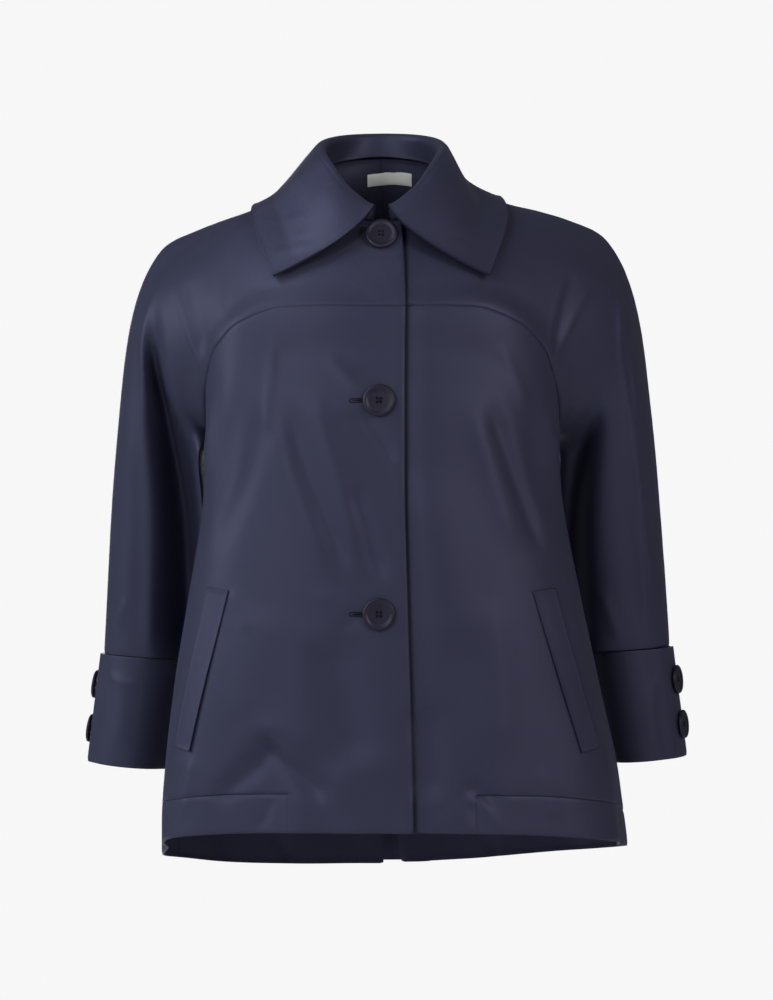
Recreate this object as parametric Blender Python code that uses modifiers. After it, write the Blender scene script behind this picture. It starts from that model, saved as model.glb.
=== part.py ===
"""Short satin coat in its worn form, hollow and open at neck, hem and cuffs.

Metres, +Z up. The front faces -Y and the wearer's right is -X. The origin is midway between the two
points where the shoulder seams meet the neck. Sizes below are millimetres and turns are degrees from
centre front.
"""

import math

import bpy
import numpy as np
from mathutils import Matrix, Vector
from mathutils.bvhtree import BVHTree

MM = 0.001

# Walls and seams
CLOTH = 1.6
COLLAR_WALL = 2.2
CUFF_WALL = 2.0
WELT_WALL = 2.0
LABEL_WALL = 0.8
SEAM_GAP = 0.3
REST_GAP = 0.7

# Front lap: the right front runs past centre front and lies over the left
LAP_TURN = 8
LAP_RAMP = 15
LAP_LIFT = 2.6

# Torso: a rounded section at each height, widest on the side line
SIDE_Y = -40
FRONT_POWER = 2.6
BACK_POWER = 2.1
TORSO = np.array([
    # z, right half, left half, front depth, back depth
    (-110, 172, 168, 96, 150),
    (-180, 171, 165, 106, 158),
    (-250, 170, 166, 111, 165),
    (-290, 171, 167, 112, 168),
    (-404, 187, 187, 113, 173),
    (-482, 200, 204, 114, 176),
    (-560, 210, 220, 115, 178),
    (-600, 213, 224, 115, 180),
    (-640, 213, 228, 116, 181),
    (-690, 213, 231, 116, 182),
])

# Broad soft folds of the lower body, the same on both sides
FOLDS = (
    # top turn, top z, foot turn, foot z, half width in degrees, height
    (60, -185, 72, -330, 6, 5),
    (48, -200, 58, -340, 6, -3),
    (38, -430, 40, -800, 8, -4),
    (84, -440, 86, -860, 8, -5),
    (106, -420, 108, -880, 10, 11),
    (130, -300, 134, -900, 9, 6),
    (156, -300, 157, -900, 8, -5),
)

# Centre back pleat, closed at the yoke and standing out at the hem
PLEAT = {
    # turn: distance from centre back and depth, both at the hem
    175.3: (13, 0), 176.3: (31, 7), 177.3: (39, 18), 178.5: (30, 29), 180: (0, 34),
}

# Seams and hem of the lower body
FRONT_SEAM = np.array([
    # turn, z: yoke seam, then the armhole down to the side seam
    (0, -129), (24, -128.5), (32, -130), (36, -133), (42, -139), (49.5, -148), (54.5, -157.5),
    (61.5, -169.5), (65, -178), (75, -200), (85, -221), (95, -236), (104, -245), (112, -248),
])
BACK_SEAM = np.array([
    # turn, z
    (112, -248), (116, -243), (121, -233), (126, -219), (131, -203), (136, -187), (144, -165),
    (152, -151), (164, -142), (180, -140),
])
BAND_TURN = 22.6
BAND_SEAM = np.array([
    # turn, z
    (BAND_TURN, -578.5), (40, -581), (60, -588), (85, -597), (106, -609), (112, -612),
])
HEM = np.array([
    # turn, z on the wearer's right, z on the left
    (0, -613, -613), (30, -615, -615), (60, -624, -624), (85, -639, -634), (106, -654, -642), (112, -657, -645),
    (135, -669, -656), (160, -674, -668), (180, -675, -675),
])
FRONT_TURNS = (-8, -4, 0, 4, 8, 15, BAND_TURN, 29, 36, 43, 50, 57, 65, 75, 85, 95, 104, 112)
BACK_TURNS = (112, 116, 121, 126, 131, 136, 140, 144, 148, 152, 158, 164, 170) + tuple(PLEAT)
BODY_ROWS = 12
HEM_ROWS = 2

# Neck seam and collar fold, by turn round the neck. The neck is turned a little on the body
NECK_TWIST = 0.05
TWIST_Y = -104
TWIST_FADE = (140, 200)
NECK_HALF = 74
NECK_Y = 2
NECK_FRONT = 100
NECK_BACK = 68
NECK_SEAM = np.array([
    # turn, z
    (0, -48), (30, -41), (60, -22), (90, 0), (135, 21), (180, 29),
])
FOLD_HALF = 60
FOLD_Y = -10
FOLD_FRONT = 94
FOLD_BACK = 82
FOLD_LINE = np.array([
    # turn, z
    (0, -40), (30, -22), (60, 8), (90, 28), (135, 45), (180, 50),
])
COLLAR_TURNS = (7, 15, 25, 36, 48, 60, 72, 82, 91, 100, 112, 126, 140, 153, 166, 180)
LEAF = np.array([
    # turn, outer edge x y z, curve leaving the fold x y z, curve meeting the edge x y z
    (7, 100, -121, -101.5, 14, -16, -22, -48, -4, 22),
    (30, 106, -95, -84, 16, -20, -10, -34, -8, 28),
    (60, 116, -52, -53, 15, -10, -6, -28, 0, 24),
    (85, 124, -12, -27, 12, -2, -10, -26, 0, 15),
    (110, 118, 40, -20, 10, 4, -4, -24, -8, 22),
    (135, 92, 82, -24, 8, 10, 2, -18, -14, 36),
    (160, 48, 105, -29, 4, 10, 4, -8, -12, 46),
    (180, 0, 112, -31, 0, 10, 4, 0, -10, 46),
])
LEAF_ROWS = 7
LEAF_GAP = 2.0
LEAF_DRAW = {"right": 0, "left": 12}
STAND_ROWS = 3

# Shoulder and overarm seam, and the underarm seam below the armhole
OVERARM = np.array([
    # x, y, z
    (74, 2, 0), (98, 3, -14), (122, 4, -24), (150, 6, -32), (182, 10, -42.5), (212, 14, -57),
    (226, 18, -75), (237, 22, -98), (246, 27, -128), (252, 32, -160), (257, 38, -200),
    (265, 48, -270), (271, 58, -340), (276, 67, -410), (279, 72, -455),
])
UNDERARM = np.array([
    # x, y, z, after the foot of the armhole
    (168, 29, -259), (169, 42, -295), (171, 55, -350), (175, 65, -408), (179, 72, -461),
])
SLEEVE_OUT = {"right": 4, "left": -3.5}
SHOULDER_SHARE = 0.47
SLEEVE_STEPS = 10
SECTION_ROWS = 10

# Which turn round the neck faces which turn of the yoke seam
FRONT_NECK = np.array([
    (-8, -14), (0, 0), (8, 14), (15, 32), (BAND_TURN, 54), (29, 73), (36, 90),
])
BACK_NECK = np.array([
    (152, 90), (158, 107), (164, 124), (170, 143), (175.3, 162), (177.3, 169), (180, 180),
])

# Curve of each section as it leaves the upper seam and as it meets the lower one
FRONT_STATIONS = np.array([
    # station, upper x y z, lower x y z
    (-8, -3, -14, -26, 0, 10, 30),
    (0, 0, -14, -26, 0, 10, 30),
    (8, 3, -14, -26, 0, 10, 30),
    (15, 6, -18, -26, 0, 10, 34),
    (22.6, 10, -26, -26, 0, 10, 40),
    (36, 10, -62, -20, 2, 12, 56),
    (50, 4, -66, -14, 8, 12, 58),
    (65, 2, -68, -12, 22, 0, 54),
    (75, 2, -70, -12, 34, -14, 44),
    (85, 2, -71, -12, 42, -26, 30),
    (95, 2, -76, -10, 48, -36, 16),
    (104, 2, -80, -8, 50, -46, 5),
    (112, 2, -84, -6, 50, -52, -4),
    (122, 1, -84, -5, 34, -66, -4),
    (137, 0, -80, -3, 16, -76, -1),
    (160, 0, -75, -1, 6, -74, 0),
    (212, 0, -66.7, 0, 0, -66.7, 0),
])
BACK_STATIONS = np.array([
    # station, upper x y z, lower x y z
    (44, 0, 16, -50, 0, -4, 56),
    (54, 8, 16, -50, 0, -4, 56),
    (72, 10, 58, -18, 2, -6, 60),
    (80, 4, 64, -14, 10, -6, 60),
    (88, 2, 66, -12, 22, 2, 54),
    (98, 2, 70, -12, 40, 24, 30),
    (103, 2, 72, -10, 46, 34, 16),
    (108, 2, 75, -8, 48, 42, 5),
    (112, 2, 78, -6, 50, 46, -4),
    (122, 1, 78, -5, 34, 60, -4),
    (137, 0, 76, -3, 16, 70, -1),
    (160, 0, 72, -1, 6, 70, 0),
    (212, 0, 66.7, 0, 0, 66.7, 0),
])

# Cuffs: a strip round the sleeve end whose front end lies over its back end on the outer side
CUFF_RINGS = np.array([
    # share down, centre x y z, half width, half depth, rise of the outer side
    (0, 229, 72, -458.3, 50.1, 50, 3),
    (1, 245.7, 83, -567, 47.9, 51, 4),
])
CUFF_EASE = 0.8
CUFF_LAP = 20
CUFF_LIFT = 2.9
CUFF_ROWS = 5
CUFF_DROP = {"right": -4, "left": 4}
CUFF_BUTTON_TURN = {"right": -6, "left": 18}
CUFF_BUTTON_SHARES = (0.30, 0.71)

# Pocket welts, by corner
WELT = np.array([
    # turn and z at the inner edge, then at the outer edge
    (44.4, -392, 54.3, -389.5),
    (52.2, -542, 61.5, -538.5),
])

# Buttons
FRONT_BUTTON_Z = (-62, -216.8, -412.6)
FRONT_BUTTON = 15
CUFF_BUTTON = 14
BUTTON_STEPS = 24
BUTTON_PROFILE = (
    # share of the radius, height
    (0, 0), (0.92, 0), (1, 0.9), (1, 2.2), (0.94, 3.1), (0.84, 3.4), (0.74, 3.0), (0.66, 2.2), (0, 2.2),
)

# Label
LABEL_HALF = 22.5
LABEL_TOP = 16
LABEL_FOOT = 4

SIDES = {"right": -1, "left": 1}
NAVY = (0.035, 0.040, 0.075, 1)
BUTTON_NAVY = (0.022, 0.022, 0.036, 1)
LABEL_GREY = (0.20, 0.22, 0.20, 1)


# Helpers
def ease(table, at):
    """The row of a table at a key of its first column, smooth through all of its rows."""
    table = table[np.argsort(table[:, 0])]
    keys = table[:, 0]
    values = table[:, 1:]
    slopes = np.gradient(values, keys, axis=0)
    at = min(max(at, keys[0]), keys[-1])
    i = min(max(int(np.searchsorted(keys, at)) - 1, 0), len(keys) - 2)
    step = keys[i + 1] - keys[i]
    t = (at - keys[i]) / step
    start = (2 * t**3 - 3 * t**2 + 1) * values[i] + (t**3 - 2 * t**2 + t) * step * slopes[i]
    return start + (3 * t**2 - 2 * t**3) * values[i + 1] + (t**3 - t**2) * step * slopes[i + 1]


def along(points, shares):
    """Points at shares of the length of a smooth line through the given points."""
    steps = np.linalg.norm(np.diff(points, axis=0), axis=1)
    keys = np.concatenate([[0], np.cumsum(steps)])
    table = np.column_stack([keys / keys[-1], points])
    return [ease(table, share) for share in shares]


def bezier(start, leave, meet, end, rows):
    t = np.linspace(0, 1, rows + 1)[:, None]
    return (1 - t)**3 * start + 3 * (1 - t)**2 * t * leave + 3 * (1 - t) * t**2 * meet + t**3 * end


def unit(vector):
    return vector / max(np.linalg.norm(vector), 1e-9)


def smooth_step(t):
    t = min(max(t, 0), 1)
    return t * t * (3 - 2 * t)


def material(name, colour, roughness):
    made = bpy.data.materials.new(name)
    made.use_nodes = True
    shader = made.node_tree.nodes["Principled BSDF"]
    shader.inputs["Base Color"].default_value = colour
    shader.inputs["Roughness"].default_value = roughness
    return made


def place(name, mesh, colour, roughness):
    obj = bpy.data.objects.new(name, mesh)
    mesh.materials.append(material(name, colour, roughness))
    COAT.objects.link(obj)
    return obj


class Cloth:
    """Outer faces of several panels. Panels that meet share the points and normals of their seam."""

    def __init__(self):
        self.points = []
        self.index = {}
        self.panels = {}

    def point(self, at):
        key = tuple(np.round(at, 2))
        if key not in self.index:
            self.index[key] = len(self.points)
            self.points.append(np.array(at, float))
        return self.index[key]

    def add(self, panel, grid, turned, keep=lambda row, col: True):
        """Faces between the rows and columns of a grid, facing out when turned is right for its order."""
        ids = [[self.point(at) for at in row] for row in grid]
        faces = self.panels.setdefault(panel, [])
        for r in range(len(ids) - 1):
            for c in range(len(ids[0]) - 1):
                if keep(r, c):
                    a, b, c1, d = ids[r][c], ids[r + 1][c], ids[r + 1][c + 1], ids[r][c + 1]
                    faces.append((d, c1, b, a) if turned else (d, a, b, c1))

    def face_normal(self, face):
        a, b, c, d = (self.points[i] for i in face)
        return unit(np.cross(c - a, d - b))

    def normals(self):
        """Normal of each point, lengthened so that walls keep their thickness at a bend."""
        meeting = [[] for _ in self.points]
        for faces in self.panels.values():
            for face in faces:
                normal = self.face_normal(face)
                for i in face:
                    meeting[i].append(normal)
        found = []
        for normals in meeting:
            mean = unit(np.sum(normals, axis=0))
            found.append(mean / max(min(float(n @ mean) for n in normals), 0.6))
        return found

    def rim_moves(self, faces, gap):
        """Move of each rim point that leaves half a gap beside every seam."""
        owner = {}
        for face in faces:
            for a, b in zip(face, face[1:] + face[:1]):
                owner[(a, b)] = face
        rim = [(edge, face) for edge, face in owner.items() if edge[::-1] not in owner]
        inward = {}
        for (a, b), face in rim:
            line = unit(self.points[b] - self.points[a])
            middle = np.mean([self.points[i] for i in face], axis=0) - self.points[a]
            way = unit(middle - (middle @ line) * line)
            inward.setdefault(a, []).append(way)
            inward.setdefault(b, []).append(way)
        moves = {}
        for i, ways in inward.items():
            total = np.sum(ways, axis=0)
            moves[i] = gap / 2 * total / max(float(total @ total) / len(ways), 0.3)
        return [edge for edge, _ in rim], moves

    def solid(self, panel, normals, wall):
        """Points and faces of one closed wall, its outer side on the panel's faces."""
        faces = self.panels[panel]
        rim, moves = self.rim_moves(faces, SEAM_GAP)
        used = sorted({i for face in faces for i in face})
        local = {i: n for n, i in enumerate(used)}
        outer = [self.points[i] + moves.get(i, 0) for i in used]
        inner = [at - normals[i] * wall for at, i in zip(outer, used)]
        count = len(used)
        made = [tuple(local[i] for i in face) for face in faces]
        made += [tuple(local[i] + count for i in face[::-1]) for face in faces]
        for a, b in rim:
            # Both panels of a seam split the wall between them along the same diagonal
            edge = (local[b], local[a], local[a] + count, local[b] + count)
            if a > b:
                edge = edge[1:] + edge[:1]
            made += [edge[:3], (edge[0], edge[2], edge[3])]
        return outer + inner, made


def put(name, points, faces, colour=NAVY, roughness=0.35):
    mesh = bpy.data.meshes.new(name)
    mesh.from_pydata([tuple(float(v) * MM for v in at) for at in points], [], faces)
    mesh.update()
    return place(name, mesh, colour, roughness)


def sheet(name, grid, wall, turned, colour=NAVY):
    """One panel that shares no seam, as its own solid."""
    cloth = Cloth()
    cloth.add(name, grid, turned)
    points, faces = cloth.solid(name, cloth.normals(), wall)
    return put(name, points, faces, colour)


# Torso surface
def fold_height(turn, z):
    total = 0
    for top_turn, top_z, foot_turn, foot_z, half_width, height in FOLDS:
        share = min(max((z - top_z) / (foot_z - top_z), 0), 1)
        across = (abs(turn) - top_turn - share * (foot_turn - top_turn)) / half_width
        total += height * math.sin(math.pi * share)**2 * math.exp(-across**2)
    return total


def torso(turn, z, out=0.0):
    """Point of the torso at a turn, positive to the wearer's left, moved out from the surface."""
    right, left, front, back = ease(TORSO, z)
    s = math.sin(math.radians(turn))
    c = math.cos(math.radians(turn))
    half = left if s > 0 else right
    depth = front if c > 0 else back
    power = FRONT_POWER if c > 0 else BACK_POWER
    reach = (abs(s)**power + abs(c)**power)**(-1 / power)
    flat = unit(np.array([s * depth, -c * half]))
    out += fold_height(turn, z)
    return np.array([half * reach * s + out * flat[0], SIDE_Y - depth * reach * c + out * flat[1], z])


def lap(side, turn):
    """How far a front stands out near centre front. Its own side counts as positive turns."""
    if side > 0:
        return 0
    return LAP_LIFT * smooth_step((LAP_RAMP - turn) / (LAP_RAMP - LAP_TURN))


def front_point(side, turn, z):
    return torso(side * turn, z) + np.array([0, -lap(side, turn), 0])


def pleat_point(side, turn, z):
    """Point of the lower back, with the pleat drawn out of it toward the hem."""
    at = torso(side * turn, z)
    share = (z - BACK_SEAM[-1, 1]) / (HEM[-1, 1] - BACK_SEAM[-1, 1])
    if turn in PLEAT:
        across, depth = PLEAT[turn]
        at[0] += share * (side * across - at[0])
        at[1] += share * depth
    return at


# Neck, seams and sleeve
def twist(at):
    """A point moved with the turn of the neck, which fades out along the shoulders."""
    inner, outer = TWIST_FADE
    fade = smooth_step((outer - abs(at[0])) / (outer - inner))
    return np.array(at) - np.array([NECK_TWIST * (at[1] - TWIST_Y) * fade, 0, 0])


def neck(turn):
    """Point of the neck seam at a turn round the neck."""
    s = math.sin(math.radians(turn))
    c = math.cos(math.radians(turn))
    return twist([NECK_HALF * s, NECK_Y - (NECK_FRONT if c > 0 else NECK_BACK) * c,
                  ease(NECK_SEAM, abs(turn))[0]])


def fold(turn):
    """Point of the collar's fold line at a turn round the neck."""
    s = math.sin(math.radians(turn))
    c = math.cos(math.radians(turn))
    return twist([FOLD_HALF * s, FOLD_Y - (FOLD_FRONT if c > 0 else FOLD_BACK) * c,
                  ease(FOLD_LINE, abs(turn))[0]])


def seam_lines(side, front):
    """Stations, upper seam and lower seam of a yoke and sleeve, from the centre line to the cuff."""
    flip = np.array([side, 1, 1])
    turns = FRONT_TURNS if front else BACK_TURNS[::-1]
    seam = FRONT_SEAM if front else BACK_SEAM
    facing = FRONT_NECK if front else BACK_NECK
    at_neck = [turn for turn in turns if (turn < 36 if front else turn > 152)]
    word = "left" if side > 0 else "right"
    out = np.array([SLEEVE_OUT[word], 0, 0])
    drop = np.array([0, 0, CUFF_DROP[word]])

    def moved(line, start):
        """A sleeve seam moved out beyond a share of its length and down toward the cuff, on this side."""
        shares = np.linspace(0, 1, len(line))
        steps = [smooth_step((share - start) / 0.3) * out + smooth_step(share / 0.25) * drop
                 for share in shares]
        return np.array([twist((at + step) * flip) for at, step in zip(line, steps)])

    shares = np.linspace(0, SHOULDER_SHARE, len(turns) - len(at_neck))
    shares = np.concatenate([shares, np.linspace(SHOULDER_SHARE, 1, SLEEVE_STEPS + 1)[1:]])
    upper = [neck(side * ease(facing, turn)[0]) for turn in at_neck] + along(moved(OVERARM, 0.1), shares)
    lower = [torso(side * turn, ease(seam, abs(turn))[0]) for turn in turns]
    underarm = np.vstack([lower[-1], moved(UNDERARM, 1)])
    lower += along(underarm, np.linspace(0, 1, SLEEVE_STEPS + 1)[1:])
    lift = [lap(side, turn) if front else 0 for turn in turns] + [0] * SLEEVE_STEPS
    upper = [at - np.array([0, up, 0]) for at, up in zip(upper, lift)]
    lower = [at - np.array([0, up, 0]) for at, up in zip(lower, lift)]
    stations = [turn if front else 224 - turn for turn in turns]
    stations += list(np.linspace(112, 212, SLEEVE_STEPS + 1)[1:])
    return stations, upper, lower


def yoke_sleeve(side, front):
    """Grid of a yoke and sleeve: one section from the upper to the lower seam at each station."""
    flip = np.array([side, 1, 1])
    table = FRONT_STATIONS if front else BACK_STATIONS
    sections = []
    for station, top, foot in zip(*seam_lines(side, front)):
        curve = ease(table, station)
        sections.append(bezier(top, top + curve[:3] * flip, foot + curve[3:] * flip, foot, SECTION_ROWS))
    return np.swapaxes(np.array(sections), 0, 1)


# Start from an empty scene
for obj in list(bpy.data.objects):
    bpy.data.objects.remove(obj)
COAT = bpy.data.collections.new("short_coat")
bpy.context.scene.collection.children.link(COAT)

# Body, yokes and sleeves: panels that share seams
cloth = Cloth()
for word, side in SIDES.items():
    turned = side < 0
    rows = []
    for r in range(BODY_ROWS + HEM_ROWS + 1):
        row = []
        for turn in FRONT_TURNS:
            top = ease(FRONT_SEAM, abs(turn))[0]
            band = ease(BAND_SEAM, abs(turn))[0]
            foot = ease(HEM, abs(turn))[max(side, 0)]
            upper = top + (band - top) * min(r / BODY_ROWS, 1)
            z = upper + (foot - band) * max(r - BODY_ROWS, 0) / HEM_ROWS
            row.append(front_point(side, turn, z))
        rows.append(row)
    last = FRONT_TURNS.index(BAND_TURN)
    cloth.add(f"front_body_{word}", rows, turned, lambda r, c: r < BODY_ROWS or c < last)
    cloth.add(f"hem_band_{word}", rows, turned, lambda r, c: r >= BODY_ROWS and c >= last)
    cloth.add(f"yoke_sleeve_front_{word}", yoke_sleeve(side, True), turned)
    cloth.add(f"yoke_sleeve_back_{word}", yoke_sleeve(side, False), not turned)

for side in SIDES.values():
    rows = []
    for r in range(BODY_ROWS + HEM_ROWS + 1):
        row = []
        for turn in BACK_TURNS[::-1]:
            top = ease(BACK_SEAM, turn)[0]
            band = ease(BAND_SEAM, turn)[0] - 0.5 * (turn - 112)
            foot = ease(HEM, turn)[max(side, 0)]
            upper = top + (band - top) * min(r / BODY_ROWS, 1)
            z = upper + (foot - band) * max(r - BODY_ROWS, 0) / HEM_ROWS
            row.append(pleat_point(side, turn, z))
        rows.append(row)
    cloth.add("back_body", rows, side > 0)

normals = cloth.normals()
for panel in cloth.panels:
    put(panel, *cloth.solid(panel, normals, CLOTH))

# Collar: a stand on the neck seam and a leaf rolled over it
yoke_faces = [face for name, faces in cloth.panels.items() if name.startswith("yoke") for face in faces]
yokes = BVHTree.FromPolygons([tuple(at) for at in cloth.points], yoke_faces)


def clear_of_yokes(at, least):
    """A point moved out until it lies at least this far outside the yokes."""
    near, normal, _, _ = yokes.find_nearest(Vector(at))
    height = (Vector(at) - near).dot(normal)
    return np.array(at) + np.array(normal) * max(least - height, 0)


collar_turns = [-turn for turn in COLLAR_TURNS] + list(COLLAR_TURNS[-2::-1])
stand_rows = []
for r in range(STAND_ROWS + 1):
    share = r / STAND_ROWS
    foot = np.array([0, 0, 2 * SEAM_GAP])
    stand_rows.append([fold(turn) + share * (neck(turn) + foot - fold(turn)) for turn in collar_turns])
sheet("collar_stand", stand_rows, COLLAR_WALL, True)

leaf_columns = []
for turn in collar_turns:
    flip = np.array([math.copysign(1, turn), 1, 1])
    curve = ease(LEAF, abs(turn))
    draw = LEAF_DRAW["left" if turn > 0 else "right"] * math.exp(-((abs(turn) - 85) / 28)**2)
    curve[6] -= draw
    a = math.radians(turn)
    start = fold(turn) + 1.3 * COLLAR_WALL * unit(np.array([math.sin(a), -math.cos(a), 1]))
    edge = twist(curve[:3] * flip)
    column = bezier(start, start + curve[3:6] * flip, edge + curve[6:] * flip, edge, LEAF_ROWS)
    column[1:] = [clear_of_yokes(at, COLLAR_WALL + LEAF_GAP) for at in column[1:]]
    leaf_columns.append(column)
sheet("collar_leaf", list(zip(*leaf_columns)), COLLAR_WALL, True)


# Cuffs and their buttons
def button(name, at, facing, radius):
    """A turned button with a raised rim, its flat side a little off the cloth."""
    mesh = bpy.data.meshes.new(name)
    points = [(radius * share * MM, 0, height * MM) for share, height in BUTTON_PROFILE]
    mesh.from_pydata(points, [(i, i + 1) for i in range(len(points) - 1)], [])
    obj = place(name, mesh, BUTTON_NAVY, 0.4)
    turn = obj.modifiers.new("turn", "SCREW")
    turn.steps = BUTTON_STEPS
    turn.render_steps = BUTTON_STEPS
    turn.use_merge_vertices = True
    turn.merge_threshold = 0.00001
    turn.use_normal_calculate = True
    turned = Vector(facing).to_track_quat("Z", "Y").to_matrix().to_4x4()
    obj.matrix_world = Matrix.Translation(Vector(at) * MM) @ turned
    return obj


def cuff_point(word, share, turn, out):
    """Point of a cuff at a share down and a turn from its outer side toward the front."""
    side = SIDES[word]
    x, y, z, half, depth, rise = ease(CUFF_RINGS, share)
    a = math.radians(turn)
    across = unit(np.array([side * half, 0, rise]))
    half += SLEEVE_OUT[word] / 2
    middle = np.array([side * (x + SLEEVE_OUT[word] / 2), y, z + CUFF_DROP[word]])
    return middle + (half + out) * math.cos(a) * across - np.array([0, (depth + out) * math.sin(a), 0])


for word, side in SIDES.items():
    at = CUFF_BUTTON_TURN[word]
    turns = list(range(at - CUFF_LAP, at + 41, 10))
    turns += list(np.linspace(at + 40, 360 + at - CUFF_LAP, 22)[1:])
    turns += list(range(360 + at - CUFF_LAP + 10, 360 + at + CUFF_LAP + 1, 10))
    rows = []
    for r in range(CUFF_ROWS + 1):
        row = []
        for turn in turns:
            out = CUFF_EASE + CUFF_LIFT * smooth_step((at + 40 - turn) / 20)
            row.append(cuff_point(word, r / CUFF_ROWS, turn, out))
        rows.append(row)
    sheet(f"cuff_{word}", rows, CUFF_WALL, side > 0)
    for n, share in enumerate(CUFF_BUTTON_SHARES):
        out = CUFF_EASE + CUFF_LIFT
        point = cuff_point(word, share, at, out)
        down = cuff_point(word, share + 0.05, at, out) - point
        round_ = cuff_point(word, share, at + 3, out) - point
        facing = unit(np.cross(down, round_)) * -side
        button(f"cuff_button_{word}_{n + 1}", point + facing * REST_GAP, facing, CUFF_BUTTON)

# Pocket welts, made from the front's points moved out
for word, side in SIDES.items():
    rows = []
    for r in range(9):
        inner_turn, inner_z, outer_turn, outer_z = WELT[0] + (WELT[1] - WELT[0]) * r / 8
        row = []
        for c in range(4):
            turn = inner_turn + (outer_turn - inner_turn) * c / 3
            z = inner_z + (outer_z - inner_z) * c / 3
            row.append(torso(side * turn, z, WELT_WALL + REST_GAP))
        rows.append(row)
    sheet(f"welt_{word}", rows, WELT_WALL, side < 0)

# Front buttons on centre front
fronts = [name for name in cloth.panels if name in ("front_body_right", "yoke_sleeve_front_right")]
front_tree = BVHTree.FromPolygons([tuple(at) for at in cloth.points],
                                  [face for name in fronts for face in cloth.panels[name]])
for n, z in enumerate(FRONT_BUTTON_Z):
    at, facing, _, _ = front_tree.ray_cast(Vector((0, -400, z)), Vector((0, 1, 0)))
    button(f"front_button_{n + 1}", at + facing * REST_GAP, facing, FRONT_BUTTON)

# Label inside the back neck, made from the back yoke's points moved in
rows = []
for r in range(3):
    z = LABEL_TOP + (LABEL_FOOT - LABEL_TOP) * r / 2
    row = []
    for c in range(9):
        x = -LABEL_HALF + 2 * LABEL_HALF * c / 8
        at, facing, _, _ = yokes.ray_cast(Vector((x, 20, z)), Vector((0, 1, 0)))
        row.append(np.array(at - facing * (CLOTH + REST_GAP)))
    rows.append(row)
sheet("neck_label", rows, LABEL_WALL, True, LABEL_GREY)
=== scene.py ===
"""Looks of the short satin coat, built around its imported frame.

Metres and +Z up, as in the frame. The coat's shapes below are in millimetres. Flat sizes, textures and
the set are in metres. Turns are degrees from centre front, positive to the wearer's left.
"""

import math

import bmesh
import bpy
import numpy as np
from mathutils import Matrix, Vector, noise
from mathutils.bvhtree import BVHTree


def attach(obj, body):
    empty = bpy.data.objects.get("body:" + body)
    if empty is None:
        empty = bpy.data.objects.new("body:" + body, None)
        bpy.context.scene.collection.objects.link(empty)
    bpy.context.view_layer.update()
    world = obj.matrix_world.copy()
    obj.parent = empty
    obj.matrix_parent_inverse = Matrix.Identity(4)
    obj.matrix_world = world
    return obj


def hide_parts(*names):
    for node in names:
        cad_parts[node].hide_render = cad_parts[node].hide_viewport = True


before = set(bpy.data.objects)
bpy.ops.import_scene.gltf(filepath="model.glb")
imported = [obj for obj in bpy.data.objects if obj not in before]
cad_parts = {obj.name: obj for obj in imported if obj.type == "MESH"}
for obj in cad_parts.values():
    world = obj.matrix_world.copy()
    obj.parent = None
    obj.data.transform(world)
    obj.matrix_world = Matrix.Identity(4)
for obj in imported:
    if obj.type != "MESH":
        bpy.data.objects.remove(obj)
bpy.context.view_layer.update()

# Lower fronts: two flared panels of navy satin, backed so that they stand off the body in soft folds.
# The wearer's right front laps over the left. Each is sewn to its yoke above, to the back at the side
# seam, and to an inset band at the hem.
MM = 0.001
SIDES = {"right": -1, "left": 1}
CLOTH = 1.6
LAP_TURN = 8
LAP_RAMP = 44
LAP_LIFT = 3.2
LAP_SINK = 2.4
LAP_SINK_TURN = 9
LAP_SINK_HALF = 4
# LAP_SHADE narrows the dip and painted shade along the line where the right front's edge lies on the left
# front.
LAP_SHADE = 2.5
SIDE_Y = -40
FRONT_POWER = 2.6
BACK_POWER = 2.1
TORSO = (
    # z, right half, left half, front depth, back depth
    (-110, 172, 168, 96, 150), (-180, 171, 165, 106, 158), (-250, 170, 166, 111, 165),
    (-290, 171, 167, 112, 168), (-404, 187, 187, 113, 173), (-482, 200, 204, 114, 176),
    (-560, 210, 220, 115, 178), (-600, 213, 224, 115, 180), (-640, 213, 228, 116, 181),
    (-690, 213, 231, 116, 182),
)
FOLDS = (
    # top turn, top z, foot turn, foot z, half width in degrees, height
    (60, -185, 72, -330, 6, 5), (48, -200, 58, -340, 6, -3), (38, -430, 40, -800, 8, -4),
    (84, -440, 86, -860, 8, -5), (106, -420, 108, -880, 10, 11), (130, -300, 134, -900, 9, 6),
    (156, -300, 157, -900, 8, -5),
)
FRONT_SEAM = (
    # turn, z: yoke seam, then the armhole down to the side seam
    (0, -129), (24, -128.5), (32, -130), (36, -133), (42, -139), (49.5, -148), (54.5, -157.5),
    (61.5, -169.5), (65, -178), (75, -200), (85, -221), (95, -236), (104, -245), (112, -248),
)
BAND_TURN = 22.6
BAND_SEAM = (
    # turn, z
    (BAND_TURN, -578.5), (40, -581), (60, -588), (85, -597), (106, -609), (112, -612),
)
HEM = (
    # turn, z on the wearer's right, z on the left
    (0, -613, -613), (30, -615, -615), (60, -624, -624), (85, -639, -634), (106, -654, -642),
    (112, -657, -645), (135, -669, -656), (160, -674, -668), (180, -675, -675),
)
SIDE_TURN = 112
FRONT_COLUMNS = 120
LAP_COLUMNS = 30
FRONT_ROWS = 172
BAND_ROWS = 14
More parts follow.
